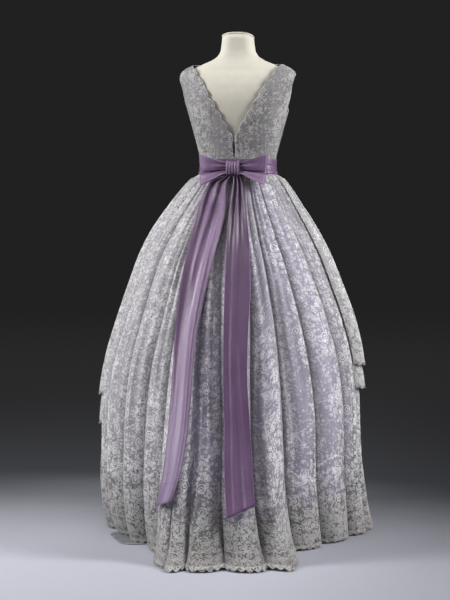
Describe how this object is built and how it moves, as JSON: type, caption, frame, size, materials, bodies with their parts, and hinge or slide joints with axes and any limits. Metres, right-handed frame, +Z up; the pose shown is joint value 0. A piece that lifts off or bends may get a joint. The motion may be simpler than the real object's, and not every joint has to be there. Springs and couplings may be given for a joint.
{
  "type": "prom dress on a dress form",
  "caption": "Sleeveless lace ball gown over lilac with a V back, a satin sash with bow and long tails and a short train, on a limbless dress form with a round stand",
  "frame": {"origin": "The middle of the stand's flat underside, on the floor.", "axes": "+Z up; the gown faces -Y, so its V back, bow and train are towards +Y; the wearer's left is +X."},
  "size_m": [0.8479, 1.0304, 1.5241],
  "materials": {
    "lace": "silvery grey floral lace, matt with a slight sheen on its cords",
    "lining": "plain woven lilac-grey lining",
    "lilac": "lilac taffeta with a soft sheen",
    "satin": "mauve satin with a soft directional sheen",
    "net": "sheer grey net",
    "jersey": "cream jersey stretched over a hard form",
    "cap": "cream covered neck cap",
    "metal": "nickel zip slider",
    "zip": "grey zip tape",
    "steel": "dark satin paint"
  },
  "bodies": {
    "root": {"form_torso": "jersey", "form_neck_cap": "cap", "form_pole": "steel", "form_base": "steel", "bodice_back_left": "lace", "bodice_back_right": "lace", "bodice_front": "lace", "strap_lining_left": "lining", "strap_lining_right": "lining", "zip_tape": "zip", "zip_slider": "metal", "sash_band": "satin", "bow_loop_left": "satin", "bow_loop_right": "satin", "bow_knot": "satin", "sash_tail_left": "satin", "sash_tail_right": "satin", "skirt_back": "lace", "skirt_front": "lace", "lace_tier_upper": "lace", "lace_tier_lower": "lace", "underskirt_lilac": "lilac", "petticoat_net": "net"}
  },
  "joints": []
}
